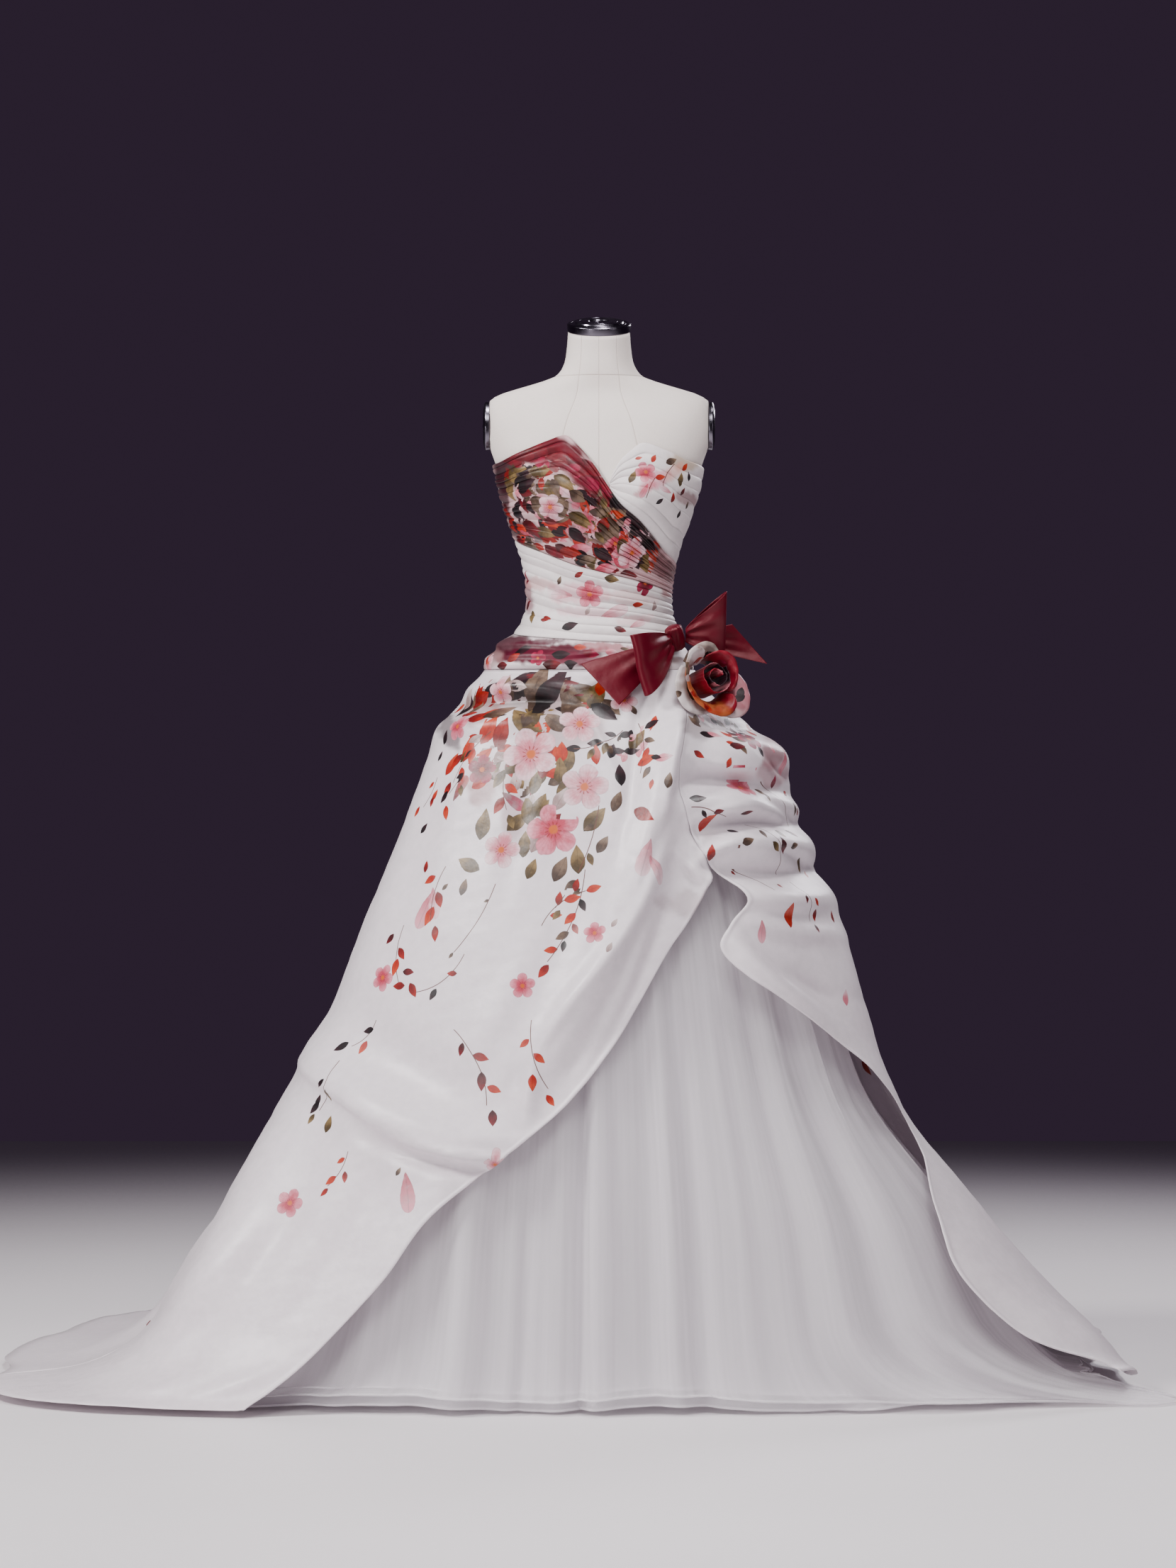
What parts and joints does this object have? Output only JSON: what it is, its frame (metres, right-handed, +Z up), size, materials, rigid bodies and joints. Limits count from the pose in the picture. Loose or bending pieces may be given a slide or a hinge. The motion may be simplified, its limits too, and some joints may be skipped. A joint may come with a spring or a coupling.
{
  "type": "ball gown on dress form",
  "caption": "Strapless ball gown with a pleated bodice, draped open overskirt with a train, net skirt, side bow and rosette, on a limbless dress form.",
  "frame": {"origin": "centre of the underside of the stand's round foot, on the floor", "axes": "+Z up, -Y to the front of the gown, +X to the right of someone who looks at the front"},
  "size_m": [1.7938, 1.5308, 1.6302],
  "materials": {
    "printed_silk": "ivory silk with a watercolour print of pink blossoms, plum, taupe and orange leaves, soft sheen",
    "printed_organza": "ivory satin organza with a watercolour flower print that thins out towards the hem",
    "tulle": "fine white net in several layers, matt and slightly see-through",
    "wine_satin": "burgundy satin with a soft gloss",
    "form_linen": "fine cream linen with faint seams",
    "dark_chrome": "dark polished metal",
    "stand_steel": "dark satin"
  },
  "bodies": {
    "root": {"form_torso": "form_linen", "form_neck_cap": "dark_chrome", "form_arm_plate_left": "dark_chrome", "form_arm_plate_right": "dark_chrome", "stand_foot": "stand_steel", "stand_pole": "stand_steel", "bodice_wrap": "printed_silk", "bodice_cup": "printed_silk", "bodice_waist": "printed_silk", "bodice_back_right": "printed_silk", "bodice_back_left": "printed_silk", "hip_drape": "printed_silk", "overskirt_front_left": "printed_organza", "overskirt_back_left": "printed_organza", "overskirt_back_right": "printed_organza", "overskirt_front_right": "printed_organza", "tulle_skirt_front": "tulle", "tulle_skirt_back": "tulle", "lining_skirt_front": "tulle", "lining_skirt_back_right": "tulle", "lining_skirt_back_left": "tulle", "bow_knot": "wine_satin", "bow_loop_left": "wine_satin", "bow_loop_right": "wine_satin", "bow_tail_left": "wine_satin", "bow_tail_right": "wine_satin", "rosette_heart": "printed_silk", "rosette_petal_1": "printed_silk", "rosette_petal_2": "printed_silk", "rosette_petal_3": "printed_silk", "rosette_petal_4": "printed_silk", "rosette_petal_5": "printed_silk", "rosette_petal_6": "printed_silk"}
  },
  "joints": []
}
